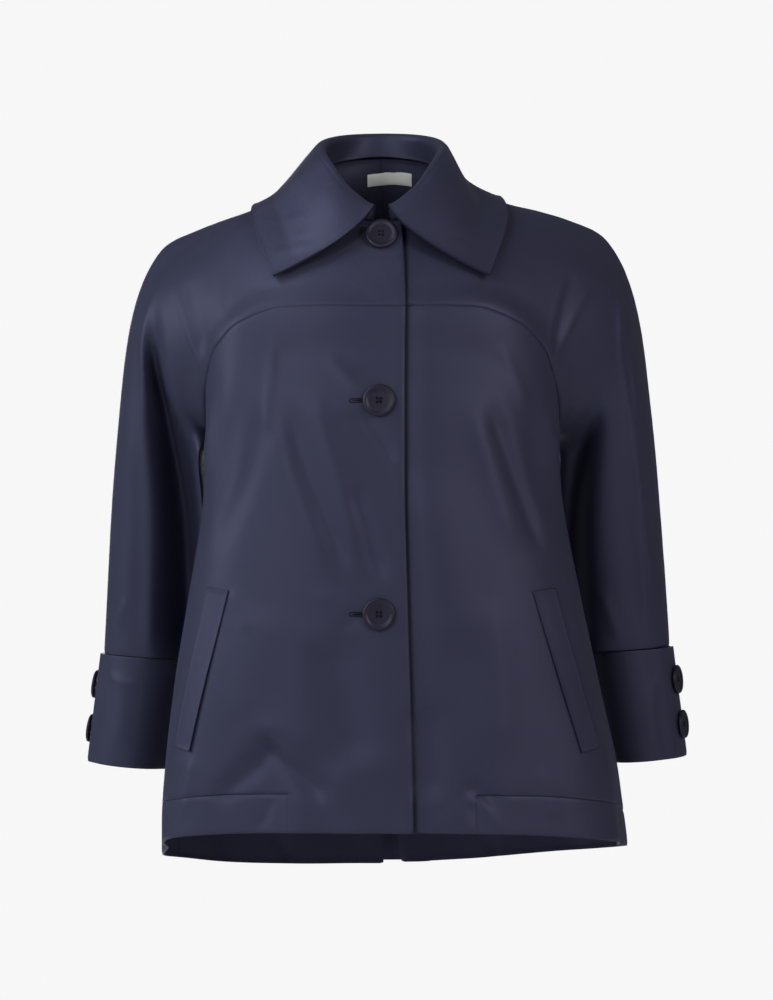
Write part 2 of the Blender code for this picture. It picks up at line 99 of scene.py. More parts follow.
FRONT_CREASES = (
    # half width, height, then x and z along the crease as seen from in front
    (26, -5.0, (-150, -194), (-80, -176), (0, -172), (80, -176), (150, -194)),
    (8, -3.2, (-86, -208), (-72, -262), (-52, -318), (-26, -384)),
    (10, 2.0, (-102, -216), (-88, -270), (-66, -330), (-44, -386)),
    (10, 2.2, (-66, -198), (-48, -258), (-26, -318), (-8, -366)),
    (8, -2.8, (-26, -290), (-13, -336), (6, -390)),
    (7, -2.2, (-20, -222), (-4, -246), (16, -276)),
    (5, 1.7, (-101, -152), (-102, -200), (-105, -254)),
    (13, -2.4, (-104, -212), (-124, -288), (-160, -364)),
    (15, 1.8, (-134, -168), (-146, -238), (-160, -310)),
    (9, -4.0, (98, -210), (122, -278), (152, -364)),
    (11, 2.3, (82, -214), (102, -280), (128, -360)),
    (7, 1.0, (108, -160), (124, -192), (138, -232)),
    (26, 3.4, (34, -270), (60, -360), (72, -460)),
    (14, 2.1, (102, -390), (108, -460), (113, -550)),
    (18, 1.3, (-118, -500), (-92, -526), (-60, -550), (-12, -586)),
    (16, 1.3, (-94, -502), (-116, -530), (-138, -552), (-162, -576)),
    (9, -5.0, (-118, -522), (-96, -542), (-70, -562), (-40, -584)),
    (10, -5.0, (-92, -520), (-112, -546), (-134, -568), (-158, -588)),
    (28, -8.0, (-104, -514), (-108, -590), (-108, -700)),
    (24, -5.0, (-84, -530), (-60, -580), (-46, -690)),
    (24, -5.0, (-46, -426), (-32, -500), (-22, -562)),
    (20, 2.6, (-110, -400), (-118, -460), (-126, -520)),
    (17, -4.2, (38, -490), (46, -540), (40, -590)),
    (7, -3.8, (78, -567), (94, -576), (114, -587)),
    (12, 1.4, (60, -590), (72, -600), (84, -618)),
    (4.5, 1.4, (90, -578), (100, -595), (113, -612)),
    (4.5, -1.5, (84, -584), (91, -599), (100, -614)),
    (4.5, -1.3, (-100, -582), (-107, -598), (-117, -614)),
    (4.5, 1.0, (-92, -582), (-97, -600), (-104, -616)),
    (7, 1.3, (-52, -170), (-34, -190), (-12, -212)),
    (8, 1.0, (-66, -222), (-44, -226), (-18, -221)),
    (8, 1.0, (-62, -392), (-42, -399), (-18, -410)),
    (7, -1.2, (-40, -428), (-28, -422), (-12, -412)),
    (8, 1.8, (-173, -544), (-180, -572), (-186, -608)),
    (6, 1.6, (-138, -388), (-128, -408), (-118, -432)),
    (7, 1.2, (146, -552), (156, -580), (160, -608)),
)
FAR = 1000
SPINE_POINTS = 25
CREASE_FADE = 0.25
SWAY = 0.7
SWAY_LENGTH = np.array([70, 70, 160])
PUCKER = 0.22
PUCKER_LENGTH = 8
PUCKER_REACH = 9
SEAM_DIP = 0.7
SEAM_REACH = 2.2
RIM = 0.45
TUCK = 0.18
NAVY = (0.033, 0.0337, 0.063, 1)
NAVY_DEEP = (0.026, 0.0268, 0.051, 1)
EDGE_PAINTED_SHADE = (0.006, 0.007, 0.014, 1)
WEAVE = 0.00055
WEAVE_SLANT = math.radians(63)
FLOAT_HEIGHT = 0.00025
PRESS_FADE = 0.45
EDGE_PAINTED_SHADE_SHARPNESS = 2
EDGE_PAINTED_SHADE_STRENGTH = 0.75
STITCH_INSET = 3
GROOVE_HALF = 0.7
GROOVE_DEPTH = 2.2


def smooth_step(t):
    t = np.clip(t, 0, 1)
    return t * t * (3 - 2 * t)


def ease(table, at):
    """Rows of a table at keys of its first column, smooth through all of its rows."""
    table = np.array(table, float)
    table = table[table[:, 0].argsort()]
    keys = table[:, 0]
    values = table[:, 1:]
    slopes = np.gradient(values, keys, axis=0)
    at = np.clip(np.asarray(at, float), keys[0], keys[-1])
    i = np.clip(np.searchsorted(keys, at) - 1, 0, len(keys) - 2)
    step = (keys[i + 1] - keys[i])[..., None]
    t = (at - keys[i])[..., None] / step
    start = (2 * t**3 - 3 * t**2 + 1) * values[i] + (t**3 - 2 * t**2 + t) * step * slopes[i]
    return start + (3 * t**2 - 2 * t**3) * values[i + 1] + (t**3 - t**2) * step * slopes[i + 1]


def along(points, shares):
    """Points at shares of the length of a smooth line through the given points."""
    run = run_of(np.array(points, float), 0)
    return ease(np.column_stack([run / run[-1], points]), shares)


def torso(turn, z, out=0.0):
    """Points of the body at turns and heights, moved out from its surface."""
    turn, z = np.broadcast_arrays(np.asarray(turn, float), np.asarray(z, float))
    right, left, front, back = np.moveaxis(ease(TORSO, z), -1, 0)
    s = np.sin(np.radians(turn))
    c = np.cos(np.radians(turn))
    half = np.where(s > 0, left, right)
    depth = np.where(c > 0, front, back)
    power = np.where(c > 0, FRONT_POWER, BACK_POWER)
    reach = (np.abs(s)**power + np.abs(c)**power)**(-1 / power)
    for top_turn, top_z, foot_turn, foot_z, half_width, height in FOLDS:
        share = np.clip((z - top_z) / (foot_z - top_z), 0, 1)
        across = (np.abs(turn) - top_turn - share * (foot_turn - top_turn)) / half_width
        out = out + height * np.sin(np.pi * share)**2 * np.exp(-across**2)
    length = np.hypot(s * depth, c * half)
    x = half * reach * s + out * s * depth / length
    y = SIDE_Y - depth * reach * c - out * c * half / length
    return np.stack([x, y, z], axis=-1)


def lap(side, turn):
    """How far a front stands out near centre front. Its own side counts as positive turns."""
    if side > 0:
        return -LAP_SINK * np.exp(-((turn - LAP_SINK_TURN) / LAP_SINK_HALF)**2)
    return LAP_LIFT * smooth_step((LAP_RAMP - turn) / (LAP_RAMP - LAP_TURN))


def face_tree(pieces):
    """A search tree of the faces of pieces, in millimetres."""
    points = []
    faces = []
    for mesh in [piece.data for piece in pieces]:
        first = len(points)
        points += [v.co / MM for v in mesh.vertices]
        faces += [[i + first for i in polygon.vertices] for polygon in mesh.polygons]
    return BVHTree.FromPolygons(points, faces)


def solid_tree(*nodes):
    """A search tree of the named solids."""
    return face_tree([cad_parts[node] for node in nodes])


def spines(creases, nodes, way):
    """Each crease with its line laid on the named solids, which are seen along +Y when way is 1.

    A line may run on past an edge of the cloth, level with its last point there.
    """
    tree = solid_tree(*nodes)
    laid = []
    for half_width, height, *picks in creases:
        line = []
        for x, z in picks:
            hit = tree.ray_cast(Vector((x, -FAR * way, z)), Vector((0, way, 0)))[0]
            line.append(hit if hit is not None else (x, line[-1][1], z))
        laid.append((half_width, height, along(line, np.linspace(0, 1, SPINE_POINTS))))
    return laid


def crease_height(points, laid):
    """Height of soft ridges and troughs at each point: full mid-way along a line, none at its ends."""
    total = np.zeros(len(points))
    for half_width, height, line in laid:
        near = 3 * half_width
        close = ((points > line.min(axis=0) - near) & (points < line.max(axis=0) + near)).all(axis=1)
        if not close.any():
            continue
        apart = np.full(close.sum(), np.inf)
        share = np.zeros(close.sum())
        for i, (start, step) in enumerate(zip(line, np.diff(line, axis=0))):
            t = np.clip((points[close] - start) @ step / (step @ step), 0, 1)
            distance = np.linalg.norm(points[close] - start - t[:, None] * step, axis=1)
            share = np.where(distance < apart, (i + t) / (len(line) - 1), share)
            apart = np.minimum(apart, distance)
        fade = smooth_step(share / CREASE_FADE) * smooth_step((1 - share) / CREASE_FADE)
        total[close] += height * fade * np.exp(-(apart / half_width)**2)
    return total


def unit(vectors):
    return vectors / np.linalg.norm(vectors, axis=-1, keepdims=True)


def tucked(grid):
    """A grid whose borders go a little past the seam lines, into the cloth that they are sewn to."""
    grid = grid.copy()
    for border, inner in ((0, 1), (-1, -2)):
        grid[border] += TUCK * unit(grid[border] - grid[inner])
        grid[:, border] += TUCK * unit(grid[:, border] - grid[:, inner])
    return grid


def run_of(grid, axis):
    """Length from the first border of a grid, or the start of a line, to each point along one axis."""
    steps = np.linalg.norm(np.diff(grid, axis=axis), axis=-1)
    first = np.zeros_like(steps.take([0], axis=axis))
    return np.concatenate([first, np.cumsum(steps, axis=axis)], axis=axis)


def border_distance(grid, faint):
    """Distance of each point of a grid from the nearest of its borders, along the cloth.

    The first column isn't counted where it is a faint border.
    """
    nearest = np.full(grid.shape[:2], np.inf)
    for axis in (0, 1):
        run = run_of(grid, axis)
        nearest = np.minimum(nearest, run.take([-1], axis=axis) - run)
        if axis == 0 or not faint:
            nearest = np.minimum(nearest, run)
    return nearest


class Shade:
    """A socket of a material. Arithmetic on it adds Math nodes, and node() adds any other kind."""

    def __init__(self, tree, socket=None):
        self.tree = tree
        self.socket = socket

    def fill(self, node, values):
        """A node's inputs filled with values or links."""
        for name, value in values.items():
            if isinstance(value, Shade):
                self.tree.links.new(value.socket, node.inputs[name])
            else:
                node.inputs[name].default_value = value

    def node(self, kind, settings, values, output=0):
        """A new node with its settings made first, then its inputs filled."""
        made = self.tree.nodes.new("ShaderNode" + kind)
        for name, value in settings.items():
            setattr(made, name, value)
        self.fill(made, values)
        return Shade(self.tree, made.outputs[output])

    def finish(self, values, shader="Principled BSDF"):
        """The inputs of the shader that the nodes lead to, filled."""
        self.fill(self.tree.nodes[shader], values)

    def math(self, operation, a, b):
        return self.node("Math", {"operation": operation}, {0: a, 1: b})

    def __add__(self, other):
        return self.math("ADD", self, other)

    def __sub__(self, other):
        return self.math("SUBTRACT", self, other)

    def __rsub__(self, other):
        return self.math("SUBTRACT", other, self)

    def __mul__(self, other):
        return self.math("MULTIPLY", self, other)

    def __rpow__(self, other):
        return self.math("POWER", other, self)

    __radd__ = __add__
    __rmul__ = __mul__


def mixed(share, low, high):
    """A colour between two colours."""
    return share.node("Mix", {"data_type": "RGBA"}, {"Factor": share, 6: low, 7: high}, 2)


def new_material(name):
    """A material, and the start of its node expressions."""
    made = bpy.data.materials.new(name)
    made.use_nodes = True
    return made, Shade(made.node_tree)


def bands(pitch):
    """Scale of a wave texture whose bands lie this far apart."""
    return math.pi / (10 * pitch)


def satin(name, groove_depth):
    """Satin: fine slanting floats, slubs along the weft, a soft sheen and edges pressed a little flat."""
    made, start = new_material(name)
    cut = start.node("UVMap", {"uv_map": "cut"}, {})
    edge = start.node("Attribute", {"attribute_name": "edge_mm"}, {}, "Fac")
    weft = start.node("Mapping", {}, {"Vector": cut, "Scale": (9, 420, 1)})
    slant = start.node("Mapping", {}, {"Vector": cut, "Rotation": (0, 0, WEAVE_SLANT)})
    slub = start.node("TexNoise", {}, {"Vector": weft, "Scale": 1.0, "Detail": 2.0})
    patch = start.node("TexNoise", {}, {"Vector": cut, "Scale": 14.0, "Detail": 3.0})
    floats = start.node("TexWave", {}, {"Vector": slant, "Scale": bands(WEAVE), "Distortion": 0.6})
    pressed = math.e ** (edge * -PRESS_FADE)
    off_stitch = (edge - STITCH_INSET) * (1 / GROOVE_HALF)
    groove = math.e ** (off_stitch * off_stitch * -1)
    # Painted shade: within about a millimetre of each seam, free edge and lapped edge, the satin is mixed
    # toward near-black navy in place of the shade in seam grooves and under edges.
    seam = math.e ** (edge * edge * -EDGE_PAINTED_SHADE_SHARPNESS)
    tone = 0.5 + (slub - 0.5) * 0.5 + (patch - 0.5) * 0.7
    rough = 0.49 + (patch - 0.5) * 0.10 + (slub - 0.5) * 0.08 - pressed * 0.06
    height = floats * 0.10 + slub * 0.35 - groove * groove_depth
    bump = start.node("Bump", {}, {"Strength": 0.22, "Distance": FLOAT_HEIGHT, "Height": height})
    colour = mixed(seam * EDGE_PAINTED_SHADE_STRENGTH, mixed(tone, NAVY_DEEP, NAVY), EDGE_PAINTED_SHADE)
    start.finish({
        "Base Color": colour, "Roughness": rough, "Normal": bump,
        "Specular IOR Level": 0.30, "Specular Tint": (0.60, 0.63, 0.97, 1),
        "Sheen Weight": 0.06, "Sheen Roughness": 0.4, "Sheen Tint": (0.55, 0.62, 0.95, 1),
    })
    return made


SATIN = satin("satin", 0)
SATIN_STITCHED = satin("satin_stitched", GROOVE_DEPTH)


def panel(name, grid, flat, creases=(), wall=CLOTH, material=SATIN,
          cut_out=None, covered=None, faint=False):
    """A cloth piece on its solid's form: a grid of points, creased, with a wall on its inner side.

    cut_out is the row and column past which another piece takes over. covered is the column that the edge
    of another piece lies on; there the cloth dips a little and is painted darker, as painted shade under
    that edge. faint says that the seam at the first column doesn't show.
    """
    grid = tucked(grid)
    rows = grid.shape[0] - 1
    columns = grid.shape[1] - 1
    edge = border_distance(grid, faint)
    # Painted shade: along the covered column the cloth counts as near an edge, so it dips and takes the
    # near-black painted shade of the seams.
    if covered:
        run = run_of(grid, 1)
        edge = np.minimum(edge, np.abs(run - run[:, [covered]]) / LAP_SHADE)
    bm = bmesh.new()
    bmesh.ops.create_grid(bm, x_segments=columns, y_segments=rows, size=0.5)
    if cut_out:
        lost = [face for face in bm.faces if (face.calc_center_median().y + 0.5) * rows > cut_out[0]
                and (face.calc_center_median().x + 0.5) * columns > cut_out[1]]
        bmesh.ops.delete(bm, geom=lost, context="FACES")
        run = run_of(grid, 0)
        seam = np.abs(run - run[cut_out[0]])
        edge[:, cut_out[1]:] = np.minimum(edge, seam)[:, cut_out[1]:]
    uvs = bm.loops.layers.uv.new("cut")
    edge_mm = bm.verts.layers.float.new("edge_mm")
    for vert in bm.verts:
        column = round((vert.co.x + 0.5) * columns)
        row = round((vert.co.y + 0.5) * rows)
        for loop in vert.link_loops:
            loop[uvs].uv = (column / columns * flat[0], -row / rows * flat[1])
        vert[edge_mm] = edge[row, column]
        vert.co = grid[row, column]
    bm.faces.ensure_lookup_table()
    middle = bm.faces[len(bm.faces) // 2]
    outward = solid_tree(name).find_nearest(middle.calc_center_median())[1]
    bm.normal_update()
    if middle.normal.dot(outward) < 0:
        bmesh.ops.reverse_faces(bm, faces=bm.faces)
        bm.normal_update()
    points = np.array([vert.co for vert in bm.verts])
    height = crease_height(points, creases)
    for vert, at, rise in zip(bm.verts, points, height):
        sway = SWAY * noise.noise(Vector(at / SWAY_LENGTH))
        near = math.exp(-vert[edge_mm] / PUCKER_REACH)
        pucker = PUCKER * noise.noise(Vector(at / PUCKER_LENGTH)) * near
        dip = SEAM_DIP * math.exp(-(vert[edge_mm] / SEAM_REACH)**2)
        vert.co = (vert.co + vert.normal * (rise + sway + pucker - dip)) * MM
    return cloth_piece(name, bm, wall, material)


def smooth_object(name, bm, *materials):
    """A smooth object in the scene, made of the faces drawn in bm."""
    mesh = bpy.data.meshes.new(name)
    bm.to_mesh(mesh)
    bm.free()
    mesh.shade_smooth()
    for material in materials:
        mesh.materials.append(material)
    made = bpy.data.objects.new(name, mesh)
    bpy.context.scene.collection.objects.link(made)
    return made


def cloth_piece(name, bm, wall, material):
    """The finished piece of cloth: its wall and rolled rim, fixed to the body, with the solid that it
    stands for hidden.
    """
    piece = smooth_object(name + "_cloth", bm, material)
    thick = piece.modifiers.new("wall", "SOLIDIFY")
    thick.thickness = wall * MM
    thick.offset = -1
    thick.use_even_offset = True
    rim = piece.modifiers.new("rim", "BEVEL")
    rim.width = RIM * MM
    rim.segments = 2
    rim.limit_method = "ANGLE"
    rim.angle_limit = math.radians(60)
    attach(piece, "root")
    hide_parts(name)
    return piece


front_parts = ("front_body", "hem_band", "yoke_sleeve_front")
front_nodes = [f"{part}_{word}" for part in front_parts for word in SIDES]
front_spines = spines(FRONT_CREASES, front_nodes, 1)
BAND_SHARE = 1 - BAND_ROWS / FRONT_ROWS
front_turns = np.interp(np.arange(FRONT_COLUMNS + 1), [0, LAP_COLUMNS, FRONT_COLUMNS],
                        [-LAP_TURN, BAND_TURN, SIDE_TURN])
front_grids = {}
for word, side in SIDES.items():
    share = np.linspace(0, 1, FRONT_ROWS + 1)[:, None]
    top = ease(FRONT_SEAM, np.abs(front_turns))[:, 0]
    band = ease(BAND_SEAM, np.abs(front_turns))[:, 0]
    foot = ease(HEM, np.abs(front_turns))[:, max(side, 0)]
    z = top + (band - top) * np.minimum(share / BAND_SHARE, 1)
    z = z + (foot - band) * np.maximum((share - BAND_SHARE) / (1 - BAND_SHARE), 0)
    front = torso(side * front_turns, z)
    front[..., 1] -= lap(side, front_turns)
    front_grids[word] = front
    covered = np.abs(front_turns - LAP_TURN).argmin() if side > 0 else None
    panel(f"front_body_{word}", front, (0.39, 0.49), front_spines,
          cut_out=(FRONT_ROWS - BAND_ROWS, LAP_COLUMNS), covered=covered)

# Hem bands: narrow strips of the same satin, set into the lower edge of each front as far as the side
# seam, and a little puckered where their upper corner is sewn in.
for word, front in front_grids.items():
    strip = front[FRONT_ROWS - BAND_ROWS:, LAP_COLUMNS:]
    panel(f"hem_band_{word}", strip, (0.274, 0.046), front_spines, faint=True)

# Lower back: one wide flared panel of the same satin, longer than the fronts. A box pleat at centre back
# is closed at the yoke and opens toward the hem, standing out behind.
BACK_SEAM = (
    # turn, z
    (112, -248), (116, -243), (121, -233), (126, -219), (131, -203), (136, -187), (144, -165),
    (152, -151), (164, -142), (180, -140),
)
PLEAT_TURN = 170
PLEAT = (
    # turn, distance from centre back and depth, both at the hem
    (175.3, 13, 0), (176.3, 31, 7), (177.3, 39, 18), (178.5, 30, 29), (180, 0, 34),
)
BACK_COLUMNS = 66
PLEAT_COLUMNS = 40
BACK_ROWS = 168
BACK_CREASES = (
    # as FRONT_CREASES, but seen from behind
    (9, 2.0, (-150, -190), (-138, -236), (-128, -290)),
    (8, -1.6, (-128, -180), (-118, -230), (-112, -282)),
    (10, 1.8, (152, -196), (141, -240), (133, -292)),
    (8, -1.4, (126, -184), (119, -226), (110, -276)),
    (9, 1.2, (-30, -146), (-36, -196), (-40, -250)),
    (8, 1.0, (28, -148), (37, -190), (42, -236)),
    (30, 3.2, (-88, -320), (-104, -440), (-116, -600)),
    (26, -2.8, (-52, -340), (-60, -460), (-66, -620)),
    (28, 2.8, (92, -330), (106, -450), (114, -610)),
    (24, -2.6, (54, -360), (60, -470), (70, -630)),
    (7, 1.2, (-120, -640), (-110, -655), (-104, -672)),
    (7, 1.1, (96, -644), (104, -658), (108, -672)),
)
back_nodes = ["back_body"] + [f"yoke_sleeve_back_{word}" for word in SIDES]
back_spines = spines(BACK_CREASES, back_nodes, -1)
half_turns = np.concatenate([np.linspace(SIDE_TURN, PLEAT[0][0], BACK_COLUMNS + 1),
                             np.linspace(PLEAT[0][0], 180, PLEAT_COLUMNS + 1)[1:]])


def half_back(side):
    """Points of half the back, from its side seam to centre back."""
    share = np.linspace(0, 1, BACK_ROWS + 1)[:, None]
    top = ease(BACK_SEAM, half_turns)[:, 0]
    z = top + (ease(HEM, half_turns)[:, max(side, 0)] - top) * share
    at = torso(side * half_turns, z)
    across, depth = np.moveaxis(ease(PLEAT, half_turns), -1, 0)
    drawn = (z - BACK_SEAM[-1][1]) / (HEM[-1][1] - BACK_SEAM[-1][1])
    drawn = drawn * smooth_step((half_turns - PLEAT_TURN) / (PLEAT[0][0] - PLEAT_TURN))
    at[..., 0] += drawn * (side * across - at[..., 0])
    at[..., 1] += drawn * depth
    return at


back = np.concatenate([half_back(-1), half_back(1)[:, -2::-1]], axis=1)
panel("back_body", back, (0.64, 0.54), back_spines)

# Yokes and sleeves: each quarter is cut from the satin in one piece, from the neck to the cuff. Front and
# back are sewn along the shoulder and the outside of the arm, and again under the arm, where the cloth
# drags into folds.
NECK_TWIST = 0.05
TWIST_Y = -104
TWIST_FADE = (140, 200)
NECK_SEAM = (
    # half width, middle y, depth in front, depth behind, then turns and z
    74, 2, 100, 68,
    ((-30, -41), (0, -48), (30, -41), (60, -22), (90, 0), (135, 21), (180, 29), (225, 21)),
)
OVERARM = np.array([
    # x, y, z
    (74, 2, 0), (98, 3, -14), (122, 4, -24), (150, 6, -32), (182, 10, -42.5), (212, 14, -57),
    (226, 18, -75), (237, 22, -98), (246, 27, -128), (252, 32, -160), (257, 38, -200),
    (265, 48, -270), (271, 58, -340), (276, 67, -410), (279, 72, -455),
])
UNDERARM = np.array([
    # x, y, z, after the foot of the armhole
    (168, 29, -259), (169, 42, -295), (171, 55, -350), (175, 65, -408), (179, 72, -461),
])
SLEEVE_OUT = {"right": 4, "left": -3.5}
CUFF_DROP = {"right": -4, "left": 4}
OVERARM_OUT_FROM = 0.1
UNDERARM_OUT_FROM = 1
OUT_RAMP = 0.3
DROP_RAMP = 0.25
SHOULDER_SHARE = 0.47
BACK_FIRST = 44
SLEEVE_END = 212
FRONT_NECK = (
    # turn of the yoke seam, turn round the neck
    (-8, -14), (0, 0), (8, 14), (15, 32), (22.6, 54), (29, 73), (36, 90),
)
BACK_NECK = (
    # as FRONT_NECK
    (152, 90), (158, 107), (164, 124), (170, 143), (175.3, 162), (177.3, 169), (180, 180),
)
FRONT_SHOULDER = (36, 43, 50, 57, 65, 75, 85, 95, 104, 112)
BACK_SHOULDER = (72, 76, 80, 84, 88, 93, 98, 103, 108, 112)
FRONT_STATIONS = (
    # station, curve leaving the upper seam x y z, curve meeting the lower seam x y z
    (-8, -3, -14, -26, 0, 10, 30), (0, 0, -14, -26, 0, 10, 30), (8, 3, -14, -26, 0, 10, 30),
    (15, 6, -18, -26, 0, 10, 34), (22.6, 10, -26, -26, 0, 10, 40), (36, 10, -62, -20, 2, 12, 56),
    (50, 4, -66, -14, 8, 12, 58), (65, 2, -68, -12, 22, 0, 54), (75, 2, -70, -12, 34, -14, 44),
    (85, 2, -71, -12, 42, -26, 30), (95, 2, -76, -10, 48, -36, 16), (104, 2, -80, -8, 50, -46, 5),
    (112, 2, -84, -6, 50, -52, -4), (122, 1, -84, -5, 34, -66, -4), (137, 0, -80, -3, 16, -76, -1),
    (160, 0, -75, -1, 6, -74, 0), (212, 0, -66.7, 0, 0, -66.7, 0),
)
BACK_STATIONS = (
    # as FRONT_STATIONS
    (44, 0, 16, -50, 0, -4, 56), (54, 8, 16, -50, 0, -4, 56), (72, 10, 58, -18, 2, -6, 60),
    (80, 4, 64, -14, 10, -6, 60), (88, 2, 66, -12, 22, 2, 54), (98, 2, 70, -12, 40, 24, 30),
    (103, 2, 72, -10, 46, 34, 16), (108, 2, 75, -8, 48, 42, 5), (112, 2, 78, -6, 50, 46, -4),
    (122, 1, 78, -5, 34, 60, -4), (137, 0, 76, -3, 16, 70, -1), (160, 0, 72, -1, 6, 70, 0),
    (212, 0, 66.7, 0, 0, 66.7, 0),
)
YOKE_COLUMNS = 44
YOKE_LAP_COLUMN = 16
SLEEVE_COLUMNS = 160
SECTION_ROWS = 76
SECTION_EASE = 300
BORDER_KEEP = 0.2
SLEEVE_CREASES = (
    # as FRONT_CREASES
    (4, 2.2, (-207, -90), (-198, -118), (-186, -150), (-170, -188)),
    (10, -1.6, (-188, -96), (-174, -140), (-164, -180)),
    (6, 1.0, (-160, -58), (-155, -104), (-152, -152)),
    (13, 1.8, (-240, -200), (-246, -300), (-254, -446)),
    (6, 1.6, (-266, -440), (-260, -420), (-252, -402)),
    (4, 2.0, (204, -92), (186, -126), (170, -160), (158, -190)),
    (4, 1.8, (176, -88), (168, -116), (160, -152), (156, -184)),
    (8, -1.8, (182, -86), (170, -130), (160, -174)),
    (4.5, 2.2, (217, -70), (226, -156), (235, -241), (249, -347), (262, -440)),
    (9, -1.6, (222, -250), (234, -350), (244, -448)),
    (6, 1.6, (206, -392), (216, -420), (226, -446)),
)
SLEEVE_BACK_CREASES = (
    # as FRONT_CREASES, but seen from behind
    (6, 2.6, (200, -96), (186, -132), (172, -176)),
    (7, -2.4, (184, -108), (170, -152), (160, -190)),
    (6, 2.6, (-206, -98), (-190, -136), (-176, -180)),
    (7, -2.4, (-188, -110), (-174, -154), (-166, -192)),
    (11, -6.0, (226, -190), (222, -270), (224, -350), (230, -446)),
    (10, 3.0, (246, -200), (250, -290), (256, -390)),
    (11, -6.0, (-232, -186), (-228, -264), (-230, -352), (-236, -450)),
    (10, 3.0, (-254, -196), (-256, -286), (-262, -394)),
    (7, 1.8, (-214, -420), (-226, -436), (-240, -446)),
    (7, 1.6, (208, -412), (220, -430), (234, -440)),
)
SLEEVE_FOLDS = {
    # half width as a share, move along Y, then station and share of the way from outer to inner seam
    "right": ((0.06, -4, ((78, 0.26), (95, 0.33), (108, 0.44), (125, 0.46), (222, 0.50))),
              (0.10, 32, ((82, 0.45), (95, 0.53), (108, 0.62), (122, 0.655), (145, 0.68), (224, 0.72))),
              (0.09, -44, ((98, 0.94), (190, 0.94)))),
    "left": ((0.12, 22, ((98, 0.78), (224, 0.82))), (0.05, -3, ((98, 0.30), (215, 0.30)))),
}
FOLD_FADE = 24
FOLD_SEAM_KEEP = 0.07
sleeve_spines = {
    "front": front_spines + spines(SLEEVE_CREASES, front_nodes, 1),
    "back": back_spines + spines(SLEEVE_BACK_CREASES, back_nodes, -1),
}


def twist(at):
    """Points moved with the turn of the neck, which fades out along the shoulders."""
    inner, outer = TWIST_FADE
    at = np.array(at, float)
    fade = smooth_step((outer - np.abs(at[..., 0])) / (outer - inner))
    at[..., 0] -= NECK_TWIST * (at[..., 1] - TWIST_Y) * fade
    return at


def round_neck(line, turn):
    """Points at turns of a line that goes round the neck."""
    half, middle, front, back, heights = line
    s = np.sin(np.radians(turn))
    c = np.cos(np.radians(turn))
    y = middle - np.where(c > 0, front, back) * c
    return twist(np.stack([half * s, y, ease(heights, np.abs(turn))[..., 0]], axis=-1))


def sleeve_seam(line, start, word):
    """A seam of the sleeve on its own side, moved out past a share of its length, and down."""
    share = np.linspace(0, 1, len(line))[:, None]
    moved = line + smooth_step((share - start) / OUT_RAMP) * np.array([SLEEVE_OUT[word], 0, 0])
    moved = moved + smooth_step(share / DROP_RAMP) * np.array([0, 0, CUFF_DROP[word]])
    return twist(moved * np.array([SIDES[word], 1, 1]))


def bezier(start, leave, meet, end, rows):
    """Rows of points along curves from one line to another."""
    t = np.linspace(0, 1, rows + 1)[:, None, None]
    return (1 - t)**3 * start + 3 * (1 - t)**2 * t * leave + 3 * (1 - t) * t**2 * meet + t**3 * end


def eased_along(grid, weight, times):
    """A grid smoothed along its rows between its end columns, by a weight for each row."""
    grid = grid.copy()
    for _ in range(times):
        middle = (grid[:, :-2] + grid[:, 2:]) / 2
        grid[:, 1:-1] += 0.5 * weight[..., None] * (middle - grid[:, 1:-1])
    return grid


def yoke_sleeve(word, front):
    """Points of a yoke and sleeve: a curved section from its upper to its lower seam at each station."""
    side = SIDES[word]
    flip = np.array([side, 1, 1])
    shoulder = FRONT_SHOULDER if front else BACK_SHOULDER
    first = -LAP_TURN if front else BACK_FIRST
    stations = np.concatenate([np.linspace(first, shoulder[0], YOKE_COLUMNS + 1),
                               np.linspace(shoulder[0], SLEEVE_END, SLEEVE_COLUMNS + 1)[1:]])
    turns = np.minimum(stations, SIDE_TURN)
    turns = turns if front else 2 * SIDE_TURN - turns
    around = side * ease(FRONT_NECK if front else BACK_NECK, turns)[:, 0]
    shares = np.concatenate([np.linspace(0, SHOULDER_SHARE, len(shoulder)), [1]])
    shares = ease(np.column_stack([shoulder + (SLEEVE_END,), shares]), stations)[:, 0]
    over = along(sleeve_seam(OVERARM, OVERARM_OUT_FROM, word), shares)
    upper = np.where((stations < shoulder[0])[:, None], round_neck(NECK_SEAM, around), over)
    seam_z = ease(FRONT_SEAM if front else BACK_SEAM, np.abs(turns))[:, 0]
    lower = torso(side * turns, seam_z)
    under = np.vstack([lower[-1], sleeve_seam(UNDERARM, UNDERARM_OUT_FROM, word)])
    below = along(under, np.clip((stations - SIDE_TURN) / (SLEEVE_END - SIDE_TURN), 0, 1))
    lower = np.where((stations < SIDE_TURN)[:, None], lower, below)
    if front:
        upper[:, 1] -= lap(side, stations)
        lower[:, 1] -= lap(side, stations)
    curve = ease(FRONT_STATIONS if front else BACK_STATIONS, stations)
    leave = upper + curve[:, :3] * flip
    meet = lower + curve[:, 3:] * flip
    grid = bezier(upper, leave, meet, lower, SECTION_ROWS)
    share = np.linspace(0, 1, SECTION_ROWS + 1)[:, None]
    weight = smooth_step(share / BORDER_KEEP) * smooth_step((1 - share) / BORDER_KEEP)
    grid = eased_along(grid, weight, SECTION_EASE)
    if front:
        for half, move, line in SLEEVE_FOLDS[word]:
            shape = np.exp(-((share - ease(line, stations)[:, 0]) / half)**2)
            shape = shape * smooth_step((1 - share) / FOLD_SEAM_KEEP)
            fade = smooth_step((stations - line[0][0]) / FOLD_FADE)
            fade = fade * smooth_step((line[-1][0] - stations) / FOLD_FADE)
            grid[..., 1] += move * shape * fade
    return grid


yokes = []
for word in SIDES:
    for face, creases in sleeve_spines.items():
        grid = yoke_sleeve(word, face == "front")
        covered = YOKE_LAP_COLUMN if (face, word) == ("front", "left") else None
        yokes.append(f"yoke_sleeve_{face}_{word}")
        panel(yokes[-1], grid, (0.62, 0.24), creases, covered=covered)

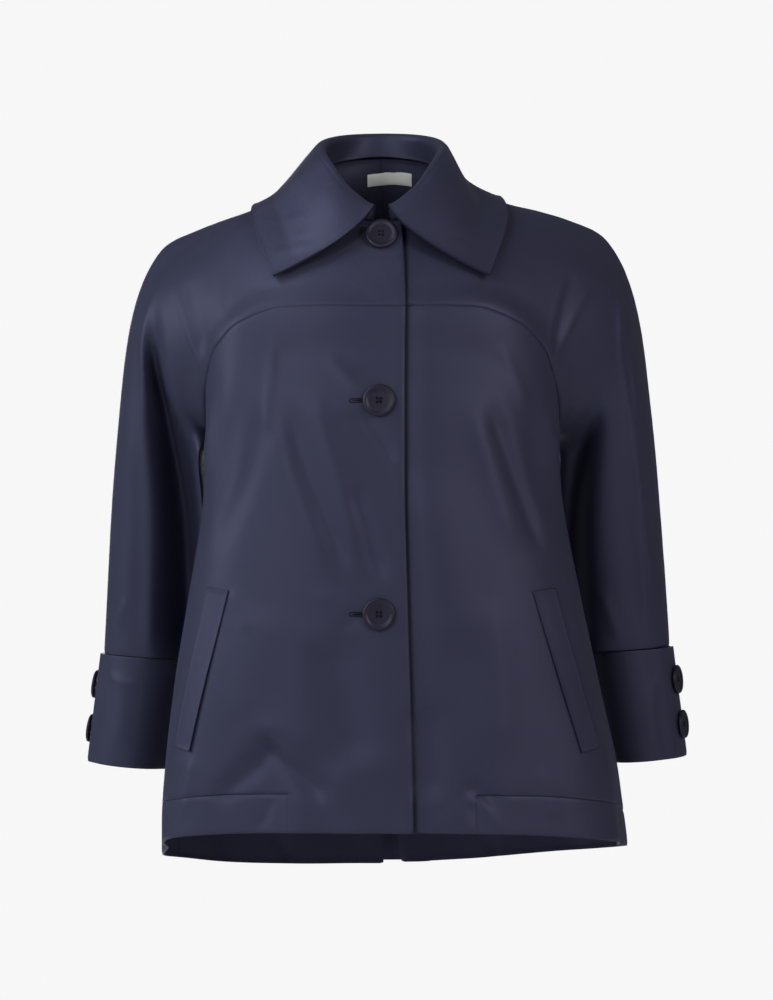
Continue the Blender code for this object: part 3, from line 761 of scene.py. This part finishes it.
# Collar: a stand sewn to the neck seam, and a wide pointed leaf of stiffened satin that rolls over it.
# The leaf's facing goes on down the inside of the stand, and its edge is stitched a little way in.
COLLAR_WALL = 2.2
COLLAR_TURN = 7
FOLD_LINE = (
    # as NECK_SEAM
    60, -10, 94, 82,
    ((-30, -22), (0, -40), (30, -22), (60, 8), (90, 27), (135, 43.4), (180, 48.2), (225, 43.4)),
)
LEAF = (
    # turn, outer edge x y z, curve leaving the fold x y z, curve meeting the edge x y z
    (7, 100, -121, -101.5, 14, -16, -22, -48, -4, 22), (30, 106, -95, -84, 16, -20, -10, -34, -8, 28),
    (60, 117, -57, -56, 15, -10, -6, -28, 0, 24), (85, 123, -24, -34, 12, -2, -10, -26, 0, 15),
    (110, 112, 30, -22, 10, 4, -4, -24, -8, 22), (135, 88, 78, -24, 8, 10, 2, -18, -14, 36),
    (160, 48, 105, -29, 4, 10, 4, -8, -12, 46), (180, 0, 112, -31, 0, 10, 4, 0, -10, 46),
)
LEAF_GAP = 1.2
LEAF_EASE = 40
LEFT_MOVES = (
    # which value after LEAF's turn, how much less, at which turn
    (6, 12, 85), (0, 11, 105),
)
LEFT_SPAN = 28
STAND_FOOT = 0.6
ROLL_OUT = 1.3
ROLL_MIDDLE = 1.1
FACING_GAP = 0.4
COLLAR_COLUMNS = 220
LEAF_ROWS = 44
ROLL_ROWS = 10
FACING_ROWS = 8
STAND_ROWS = 12
COLLAR_CREASES = (
    # as FRONT_CREASES
    (2.8, 0.6, (-57, -63), (-86, -68), (-112, -71), (-134, -73)),
    (2.6, -0.5, (-58, -72), (-83, -75), (-109, -78), (-130, -80)),
    (2.8, 0.55, (-70, -78), (-85, -83), (-106, -88), (-126, -91)),
    (4.0, -0.6, (-66, -42), (-92, -46), (-116, -44), (-136, -42)),
    (2.4, 0.4, (-84, -88), (-95, -91), (-103, -95), (-116, -98)),
    (2.8, 0.6, (55, -61), (82, -66), (110, -70), (132, -73)),
    (2.6, -0.5, (64, -71), (82, -75), (107, -78), (128, -80)),
    (2.6, 0.45, (76, -80), (90, -83), (104, -86), (120, -89)),
    (4.0, -0.5, (70, -34), (92, -42), (112, -46), (130, -48)),
)
collar_spines = spines(COLLAR_CREASES, ["collar_leaf"], 1)
collar_way = np.linspace(COLLAR_TURN, 360 - COLLAR_TURN, COLLAR_COLUMNS + 1)
collar_turns = np.where(collar_way > 180, 360 - collar_way, -collar_way)


def cloth_tree(*nodes):
    """A search tree of the outer faces of the cloth that stands for the named solids."""
    return face_tree([bpy.data.objects[node + "_cloth"] for node in nodes])


def clear_of(tree, at, least):
    """A point moved out until it lies at least this far outside the cloth in a tree."""
    near, normal, _, _ = tree.find_nearest(Vector(at))
    height = (Vector(at) - near).dot(normal)
    return np.array(at) + np.array(normal) * max(least - height, 0)


fold_line = round_neck(FOLD_LINE, collar_turns)
stand_foot = round_neck(NECK_SEAM, collar_turns) + np.array([0, 0, STAND_FOOT])
share = np.linspace(0, 1, STAND_ROWS + 1)[:, None, None]
stand = fold_line + share * (stand_foot - fold_line)
panel("collar_stand", stand, (0.51, 0.034), wall=COLLAR_WALL)

around = np.radians(collar_turns)
outward = np.stack([np.sin(around), -np.cos(around), 0 * around], axis=1)
upward = np.array([0, 0, 1])
leaf_side = np.sign(collar_turns)
flip = np.column_stack([leaf_side, np.ones_like(leaf_side), np.ones_like(leaf_side)])
curve = ease(LEAF, np.abs(collar_turns))
for value, less, turn in LEFT_MOVES:
    near = np.exp(-((np.abs(collar_turns) - turn) / LEFT_SPAN)**2)
    curve[:, value] -= (leaf_side > 0) * less * near
start_line = fold_line + ROLL_OUT * COLLAR_WALL * unit(outward + upward)
edge_line = twist(curve[:, :3] * flip)
leave = start_line + curve[:, 3:6] * flip
meet = edge_line + curve[:, 6:] * flip
leaf = bezier(start_line, leave, meet, edge_line, LEAF_ROWS)
shell = cloth_tree(*yokes)
down = np.linspace(0, 1, LEAF_ROWS + 1)[:, None]
for gap in (LEAF_GAP + 1, LEAF_GAP):
    for row in leaf[1:]:
        row[:] = [clear_of(shell, at, COLLAR_WALL + gap) for at in row]
    leaf = eased_along(leaf, smooth_step(down / BORDER_KEEP), LEAF_EASE)
middle = fold_line - ROLL_MIDDLE * outward
radius = np.linalg.norm(start_line - middle, axis=1)[:, None]
rise = ROLL_OUT * COLLAR_WALL * math.sqrt(0.5)
first = math.atan2(rise, rise + ROLL_MIDDLE)
roll = [middle + radius * (math.cos(a) * outward + math.sin(a) * upward)
        for a in np.linspace(math.pi, first, ROLL_ROWS + 1)]
into = (COLLAR_WALL + FACING_GAP + COLLAR_WALL) * outward
facing = [stand_foot - into + t * (roll[0] - stand_foot + into)
          for t in np.linspace(0, 1, FACING_ROWS + 1)]
leaf = np.concatenate([facing[:-1], roll[:-1], leaf])
collar = panel("collar_leaf", leaf, (0.66, 0.14), collar_spines,
               wall=COLLAR_WALL, material=SATIN_STITCHED)

# Stitching: one row of small lock stitches along the leaf's free edges, in a dark navy thread that sinks
# a little way into the satin.
STITCH_LENGTH = 2.5
STITCH_PITCH = 3.3
STITCH_HALF = 0.4
THREAD_NAVY = (0.006, 0.0065, 0.013, 1)
THREAD_NAVY_PALE = (0.009, 0.00975, 0.0195, 1)


def own_noise(start, scale, detail):
    """Noise that keeps its place on the piece."""
    place = start.node("TexCoord", {}, {}, "Object")
    return start.node("TexNoise", {}, {"Vector": place, "Scale": scale, "Detail": detail})


thread, start = new_material("thread")
place = start.node("TexCoord", {}, {}, "Object")
twisted = start.node("TexWave", {}, {"Vector": place, "Scale": 900.0, "Distortion": 0.5})
fibre = own_noise(start, 700.0, 2.0)
start.finish({
    "Base Color": mixed(fibre, THREAD_NAVY, THREAD_NAVY_PALE),
    "Roughness": 0.5 + fibre * 0.2,
    "Specular IOR Level": 0.2,
    "Normal": start.node("Bump", {}, {"Strength": 0.3, "Distance": 0.0001, "Height": twisted}),
})


def bar(bm, start, end, half, detail=1):
    """A slim rounded bar of thread between two points in millimetres."""
    middle = (Vector(start) + Vector(end)) / 2
    line = Vector(end) - Vector(start)
    stretch = Matrix.Diagonal((half * MM, half * MM, line.length / 2 * MM, 1))
    turned = line.to_track_quat("Z", "Y").to_matrix().to_4x4()
    bmesh.ops.create_icosphere(bm, subdivisions=detail, radius=1,
                               matrix=Matrix.Translation(middle * MM) @ turned @ stretch)


def small_piece(name, bm, material):
    """A finished small piece that rides on the coat."""
    piece = smooth_object(name, bm, material)
    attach(piece, "root")
    return piece


def point_at(at, run, line):
    """The point of a line at a length along it."""
    return [np.interp(at, run, line[:, k]) for k in range(3)]


def inset(grid, distance):
    """A line through a grid, this far inside its first column, its last row and its last column."""
    across = run_of(grid, 1)
    down = run_of(grid, 0)
    below = down[-1] - down
    rows = range(len(grid))
    line = [point_at(distance, across[r], grid[r]) for r in rows if below[r, 0] > distance]
    for c in range(grid.shape[1]):
        if min(across[-1, c], across[-1, -1] - across[-1, c]) > distance:
            line.append(point_at(distance, below[::-1, c], grid[::-1, c]))
    for r in reversed(rows):
        if below[r, -1] > distance:
            line.append(point_at(across[r, -1] - distance, across[r], grid[r]))
    return np.array(line)


def stitch_row(bm, line):
    """Stitches at an even pitch along a line of points."""
    run = run_of(line, 0)
    for first in np.arange(0, run[-1] - STITCH_PITCH, STITCH_PITCH):
        bar(bm, *[point_at(at, run, line) for at in (first, first + STITCH_LENGTH)], STITCH_HALF)


sewn = np.array([v.co for v in collar.data.vertices]).reshape(leaf.shape) / MM
sewn = sewn[FACING_ROWS + ROLL_ROWS:]
bm = bmesh.new()
stitch_row(bm, inset(sewn, STITCH_INSET))
small_piece("collar_stitches", bm, thread)

# Cuffs: deep strips of satin over the sleeve ends. The front end laps over the back end on the outer side
# and is held by two buttons.
CUFF_WALL = 2.0
CUFF_RINGS = (
    # share down, centre x y z, half width, half depth, rise of the outer side
    (0, 229, 72, -458.3, 50.1, 50, 3), (1, 245.7, 83, -567, 47.9, 51, 4),
)
CUFF_EASE = 0.8
CUFF_LAP = 20
CUFF_LIFT = 2.9
CUFF_BUTTON_TURN = {"right": -6, "left": 18}
CUFF_VALLEY = {"right": (142, 42, 15), "left": (142, 42, 13)}
CUFF_LEDGE = 0.005
CUFF_TURN_IN = 4.5
CUFF_COLUMNS = 150
CUFF_ROWS = 48
CUFF_CREASES = (
    # as FRONT_CREASES
    (5, 0.9, (-276, -478), (-262, -486), (-244, -490)),
    (9, 1.2, (-262, -470), (-260, -510), (-266, -556)),
    (8, 1.1, (262, -474), (256, -512), (262, -556)),
)
CUFF_BACK_CREASES = (
    # as FRONT_CREASES, but seen from behind
    (8, 1.1, (254, -472), (256, -516), (262, -560)),
    (8, -1.1, (-226, -474), (-230, -514), (-238, -556)),
)
cuff_nodes = [f"cuff_{word}" for word in SIDES]
cuff_spines = spines(CUFF_CREASES, cuff_nodes, 1) + spines(CUFF_BACK_CREASES, cuff_nodes, -1)


def cuff_points(word, share, turn, out):
    """Points of a cuff at shares down and turns from its outer side toward the front."""
    side = SIDES[word]
    x, y, z, half, depth, rise = np.moveaxis(ease(CUFF_RINGS, share), -1, 0)
    a = np.radians(turn)
    across = unit(np.stack([side * half, 0 * half, rise], axis=-1))
    half = half + SLEEVE_OUT[word] / 2
    middle = np.stack([side * (x + SLEEVE_OUT[word] / 2), y, z + CUFF_DROP[word]], axis=-1)
    reach = ((half + out) * np.cos(a))[..., None] * across
    return middle + reach - ((depth + out) * np.sin(a))[..., None] * np.array([0, 1, 0])


for word in SIDES:
    at = CUFF_BUTTON_TURN[word]
    turns = np.linspace(at - CUFF_LAP, 360 + at + CUFF_LAP, CUFF_COLUMNS + 1)
    turns, shares = np.meshgrid(turns, np.concatenate([[0], np.linspace(CUFF_LEDGE, 1, CUFF_ROWS)]))
    out = CUFF_EASE + CUFF_LIFT * smooth_step((at + 2 * CUFF_LAP - turns) / CUFF_LAP)
    valley_turn, half, depth = CUFF_VALLEY[word]
    out = out - depth * np.exp(-((turns - valley_turn) / half)**2)
    out[0] -= CUFF_TURN_IN
    grid = cuff_points(word, shares, turns, out)
    panel(f"cuff_{word}", grid, (0.35, 0.116), cuff_spines, wall=CUFF_WALL)

# Pocket welts: narrow stiffened strips of satin on the slanting pocket mouths, sewn down at both ends.
WELT_WALL = 0.7
WELT_GAP = 0.1
WELT = np.array([
    # turn and z at the inner edge, then at the outer edge
    (44.4, -392, 54.3, -389.5), (52.2, -542, 61.5, -538.5),
])
WELT_COLUMNS = 12
WELT_ROWS = 70
for word, side in SIDES.items():
    down = np.linspace(0, 1, WELT_ROWS + 1)[:, None]
    across = np.linspace(0, 1, WELT_COLUMNS + 1)
    edges = WELT[0] + (WELT[1] - WELT[0]) * down
    inner_turn, inner_z, outer_turn, outer_z = np.moveaxis(edges, -1, 0)[..., None]
    turns = inner_turn + (outer_turn - inner_turn) * across
    z = inner_z + (outer_z - inner_z) * across
    grid = torso(side * turns, z, WELT_WALL + WELT_GAP)
    panel(f"welt_{word}", grid, (0.028, 0.158), front_spines, wall=WELT_WALL)

# Buttons: turned discs with a rounded rim and four holes, each on a thread shank and sewn with crossed
# thread. Three close the front, and two each cuff.
FRONT_BUTTON_Z = (-62, -216.8, -412.6)
FRONT_BUTTON = 15
CUFF_BUTTON = 14
CUFF_BUTTON_SHARES = (0.30, 0.71)
SHARE_STEP = 0.05
TURN_STEP = 3
BUTTON_STEPS = 72
BUTTON_PROFILE = (
    # share of the radius, height
    (0, 0), (0.90, 0), (0.96, 0.25), (0.995, 0.8), (1, 1.5), (0.995, 2.2), (0.97, 2.8), (0.92, 3.25),
    (0.86, 3.4), (0.80, 3.25), (0.745, 2.85), (0.70, 2.5), (0.64, 2.3), (0.5, 2.2), (0.25, 2.15),
    (0, 2.15),
)
HOLE_OUT = 2.5
HOLE_HALF = 1.15
HOLE_LENGTH = 8
HOLE_MIDDLE = 2
HOLE_STEPS = 20
CROSS_Z = 2.3
CROSS_HALF = 0.42
CROSSED = (
    # shift across, rise
    (-0.25, 0), (0.25, 0.35),
)
SHANK_ENDS = (-0.9, 2.7)
SHANK_HALF = 0.6
REST_GAP = 0.7
BUTTON_TILT = 0.7
AHEAD = 400
BUTTON_GREY = (0.009, 0.0082, 0.0165, 1)
BUTTON_GREY_PALE = (0.014, 0.013, 0.025, 1)
horn, start = new_material("button_resin")
cloud = own_noise(start, 160.0, 4.0)
grain = own_noise(start, 2400.0, 2.0)
start.finish({
    "Base Color": mixed(cloud, BUTTON_GREY, BUTTON_GREY_PALE),
    "Roughness": 0.34 + cloud * 0.16,
    "Specular IOR Level": 0.36,
    "Specular Tint": (0.80, 0.74, 1.0, 1),
    "Normal": start.node("Bump", {}, {"Strength": 0.12, "Distance": 0.0001, "Height": grain}),
})


def turned_disc(radius):
    """Mesh of a button with its flat side at zero height and its four holes drilled through."""
    bm = bmesh.new()
    ring = [bm.verts.new((radius * share * MM, 0, height * MM)) for share, height in BUTTON_PROFILE]
    edges = [bm.edges.new(pair) for pair in zip(ring, ring[1:])]
    bmesh.ops.spin(bm, geom=ring + edges, cent=(0, 0, 0), axis=(0, 0, 1), angle=2 * math.pi,
                   steps=BUTTON_STEPS, use_merge=True)
    bmesh.ops.remove_doubles(bm, verts=bm.verts, dist=1e-6)
    bmesh.ops.recalc_face_normals(bm, faces=bm.faces)
    disc = smooth_object("disc", bm)
    bm = bmesh.new()
    for corner in range(4):
        a = math.radians(45 + 90 * corner)
        spot = Vector((HOLE_OUT * math.cos(a), HOLE_OUT * math.sin(a), HOLE_MIDDLE)) * MM
        bmesh.ops.create_cone(bm, cap_ends=True, segments=HOLE_STEPS, radius1=HOLE_HALF * MM,
                              radius2=HOLE_HALF * MM, depth=HOLE_LENGTH * MM,
                              matrix=Matrix.Translation(spot))
    drill = smooth_object("drill", bm)
    holes = disc.modifiers.new("holes", "BOOLEAN")
    holes.operation = "DIFFERENCE"
    holes.solver = "EXACT"
    holes.object = drill
    made = bpy.data.meshes.new_from_object(disc.evaluated_get(bpy.context.evaluated_depsgraph_get()))
    for helper in (disc, drill):
        bpy.data.objects.remove(helper)
    return made


discs = {radius: turned_disc(radius) for radius in (FRONT_BUTTON, CUFF_BUTTON)}


def button(name, at, facing, radius):
    """A button with its flat side at a point in millimetres, and the thread that holds it."""
    turned = Vector(facing).to_track_quat("Z", "Y").to_matrix().to_4x4()
    spot = Matrix.Translation(Vector(at) * MM) @ turned
    bm = bmesh.new()
    bm.from_mesh(discs[radius])
    bmesh.ops.transform(bm, matrix=spot, verts=bm.verts)
    piece = small_piece(name + "_disc", bm, horn)
    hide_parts(name)
    rim = piece.modifiers.new("rim", "WEIGHTED_NORMAL")
    rim.keep_sharp = True
    bm = bmesh.new()
    reach = HOLE_OUT * math.sqrt(0.5)
    for across in (1, -1):
        for shift, rise in CROSSED:
            ends = [(reach * across * end + shift, reach * end, CROSS_Z + rise) for end in (-1, 1)]
            bar(bm, *ends, CROSS_HALF, 2)
    for x in (-reach, reach):
        for y in (-reach, reach):
            bar(bm, *[(x, y, z) for z in SHANK_ENDS], SHANK_HALF, 2)
    bmesh.ops.transform(bm, matrix=spot, verts=bm.verts)
    small_piece(name + "_thread", bm, thread)


fronts = cloth_tree("front_body_right", "yoke_sleeve_front_right")


def on_front(x, z):
    """The point of the right front's cloth at x and z, and the way that it faces there."""
    return fronts.ray_cast(Vector((x, -AHEAD, z)), Vector((0, 1, 0)))[:2]


for n, z in enumerate(FRONT_BUTTON_Z):
    at, facing = on_front(0, z)
    low = Vector((0, facing.y, facing.z * BUTTON_TILT)).normalized()
    away = REST_GAP + FRONT_BUTTON * math.sin(facing.angle(low))
    button(f"front_button_{n + 1}", at + low * away, low, FRONT_BUTTON)
for word, side in SIDES.items():
    turn = CUFF_BUTTON_TURN[word]
    out = CUFF_EASE + CUFF_LIFT
    for n, share in enumerate(CUFF_BUTTON_SHARES):
        at = cuff_points(word, share, turn, out)
        down = cuff_points(word, share + SHARE_STEP, turn, out) - at
        beside = cuff_points(word, share, turn + TURN_STEP, out) - at
        facing = unit(np.cross(down, beside)) * -side
        button(f"cuff_button_{word}_{n + 1}", at + facing * REST_GAP, facing, CUFF_BUTTON)

# Buttonholes: slits in the right front, worked round with close stitches of the same thread. The button
# covers all but one end.
SLIT_ENDS = (-25.5, 3)
SLIT_HALF = 0.9
WORKED = 1.7
WORKED_PITCH = 0.62
WORKED_HALF = 0.36
WORKED_END = np.linspace(100, 260, 11)
# Painted shade: each slit is a near-black bar laid on the cloth, flecked with thread colour, in place of
# the shade inside the cut.
SLIT_PAINTED_SHADE = (0.002, 0.002, 0.004, 1)
slit_painted_shade, start = new_material("slit_painted_shade")
fray = own_noise(start, 900.0, 2.0)
start.finish({
    "Base Color": mixed(fray, SLIT_PAINTED_SHADE, THREAD_NAVY),
    "Roughness": 0.7 + fray * 0.2,
    "Specular IOR Level": 0.1,
})
for n, z in enumerate(FRONT_BUTTON_Z[1:]):
    bm = bmesh.new()
    bar(bm, *[on_front(x, z)[0] for x in SLIT_ENDS], SLIT_HALF, 2)
    small_piece(f"buttonhole_{n + 2}_slit", bm, slit_painted_shade)
    bm = bmesh.new()
    roots = [(x, way) for x in np.arange(*SLIT_ENDS, WORKED_PITCH) for way in (90, -90)]
    roots += [(SLIT_ENDS[0], way) for way in WORKED_END]
    for x, way in roots:
        c = math.cos(math.radians(way))
        s = math.sin(math.radians(way))
        ends = [on_front(x + c * away, z + s * away)[0] for away in (SLIT_HALF, SLIT_HALF + WORKED)]
        bar(bm, *ends, WORKED_HALF)
    small_piece(f"buttonhole_{n + 2}", bm, thread)

# Label: a bare woven tape of pale grey yarn, laid inside the back neck with its ends a little lower, and
# sewn on there.
LABEL_HALF = 22.5
LABEL_TOP = 16
LABEL_FOOT = 4
LABEL_WALL = 0.8
LABEL_SAG = 2.5
LABEL_Y = 20
LABEL_ROWS = 12
LABEL_COLUMNS = 46
LABEL_WARP = 0.0006
LABEL_WEFT = 0.0005
LABEL_GREY = (0.78, 0.81, 0.76, 1)
LABEL_GREY_PALE = (0.88, 0.91, 0.85, 1)
tape, start = new_material("label_tape")
cut = start.node("UVMap", {"uv_map": "cut"}, {})
warp = start.node("TexWave", {}, {"Vector": cut, "Scale": bands(LABEL_WARP)})
weft = start.node("TexWave", {"bands_direction": "Y"}, {"Vector": cut, "Scale": bands(LABEL_WEFT)})
start.finish({
    "Base Color": mixed(weft * warp, LABEL_GREY, LABEL_GREY_PALE),
    "Roughness": 0.55 + warp * 0.1,
    "Sheen Weight": 0.2,
    "Sheen Roughness": 0.4,
    "Normal": start.node("Bump", {}, {"Strength": 0.3, "Distance": 0.00015, "Height": warp + weft}),
})
behind = cloth_tree("yoke_sleeve_back_right", "yoke_sleeve_back_left")
rows = []
for z in np.linspace(LABEL_TOP, LABEL_FOOT, LABEL_ROWS + 1):
    hits = [behind.ray_cast(Vector((x, LABEL_Y, z - LABEL_SAG * (x / LABEL_HALF)**2)), Vector((0, 1, 0)))
            for x in np.linspace(-LABEL_HALF, LABEL_HALF, LABEL_COLUMNS + 1)]
    rows.append([np.array(at - normal * (CLOTH + REST_GAP)) for at, normal, _, _ in hits])
label = panel("neck_label", np.array(rows), (0.046, 0.013), wall=LABEL_WALL, material=tape)

# Set: a pale floor well below the hem, and a pale surround. Three large soft lamps on the wearer's right,
# one on the left and one behind light the coat, and a narrow one lights the collar. The camera stands
# level with the middle of the coat, a little to its left.
FLOOR_Z = -1.35
FLOOR_RADIUS = 3
FLOOR_STEPS = 96
FLOOR_PALE = (0.80, 0.80, 0.80, 1)
FLOOR_GLOW = (0.93, 0.93, 0.93, 1)
BLACK = (0, 0, 0, 1)
SURROUND = 0.93
AMBIENT = 0.09
MIDDLE = (0, 0, -0.308)
WHITE = (1, 1, 1)
COOL = (0.92, 1, 1.07)
WARM = (1.04, 1, 0.97)
LAMPS = (
    # name, place, aim, size, spread in degrees, watts, colour
    ("side", (-3.24, -0.58, 0.60), MIDDLE, 1.6, 180, 46, COOL),
    ("key", (-1.60, -2.80, 0.60), MIDDLE, 1.6, 180, 34, WHITE),
    ("top", (-1.89, -1.09, 2.30), MIDDLE, 1.6, 180, 22, COOL),
    ("fill", (2.03, -2.42, 0.75), MIDDLE, 1.6, 180, 42, WARM),
    ("back", (-0.5, 3.3, -0.1), MIDDLE, 1.6, 180, 36, WHITE),
    ("collar", (-1.20, -1.00, 1.20), (-0.085, -0.09, -0.03), 0.1, 6, 0.028, COOL),
)
CAMERA_DISTANCE = 3.0
CAMERA_TURN = math.radians(2.5)
CAMERA_Z = MIDDLE[2]
FRAME_HEIGHT = 0.965
floor_paint, start = new_material("floor_paint")
glow = start.node("LightPath", {}, {}, "Is Camera Ray")
start.finish({
    "Base Color": mixed(glow, FLOOR_PALE, BLACK),
    "Emission Color": mixed(glow, BLACK, FLOOR_GLOW),
    "Emission Strength": 1,
    "Roughness": 0.5 + own_noise(start, 3.0, 4.0) * 0.2,
    "Specular IOR Level": 0,
})
bm = bmesh.new()
bmesh.ops.create_circle(bm, cap_ends=True, segments=FLOOR_STEPS, radius=FLOOR_RADIUS,
                        matrix=Matrix.Translation((0, 0, FLOOR_Z)))
floor = smooth_object("floor", bm, floor_paint)

world = bpy.data.worlds.new("surround")
bpy.context.scene.world = world
world.use_nodes = True
start = Shade(world.node_tree)
seen = start.node("LightPath", {}, {}, "Is Camera Ray")
start.finish({"Color": (*WHITE, 1), "Strength": AMBIENT + seen * (SURROUND - AMBIENT)}, "Background")

for name, spot, aim, size, spread, watts, colour in LAMPS:
    light = bpy.data.lights.new(name, "AREA")
    light.size = size
    light.spread = math.radians(spread)
    light.energy = watts
    light.color = colour
    lamp = bpy.data.objects.new(name, light)
    lamp.location = spot
    lamp.rotation_euler = (Vector(aim) - Vector(spot)).to_track_quat("-Z", "Y").to_euler()
    bpy.context.scene.collection.objects.link(lamp)

view = bpy.data.cameras.new("camera")
view.sensor_width = 36
view.lens = view.sensor_width * CAMERA_DISTANCE / FRAME_HEIGHT
camera = bpy.data.objects.new("camera", view)
away = CAMERA_DISTANCE * Vector((math.sin(CAMERA_TURN), -math.cos(CAMERA_TURN), 0))
camera.location = away + Vector((0, 0, CAMERA_Z))
camera.rotation_euler = (math.pi / 2, 0, CAMERA_TURN)
bpy.context.scene.collection.objects.link(camera)
bpy.context.scene.camera = camera
bpy.context.scene.view_settings.view_transform = "Standard"
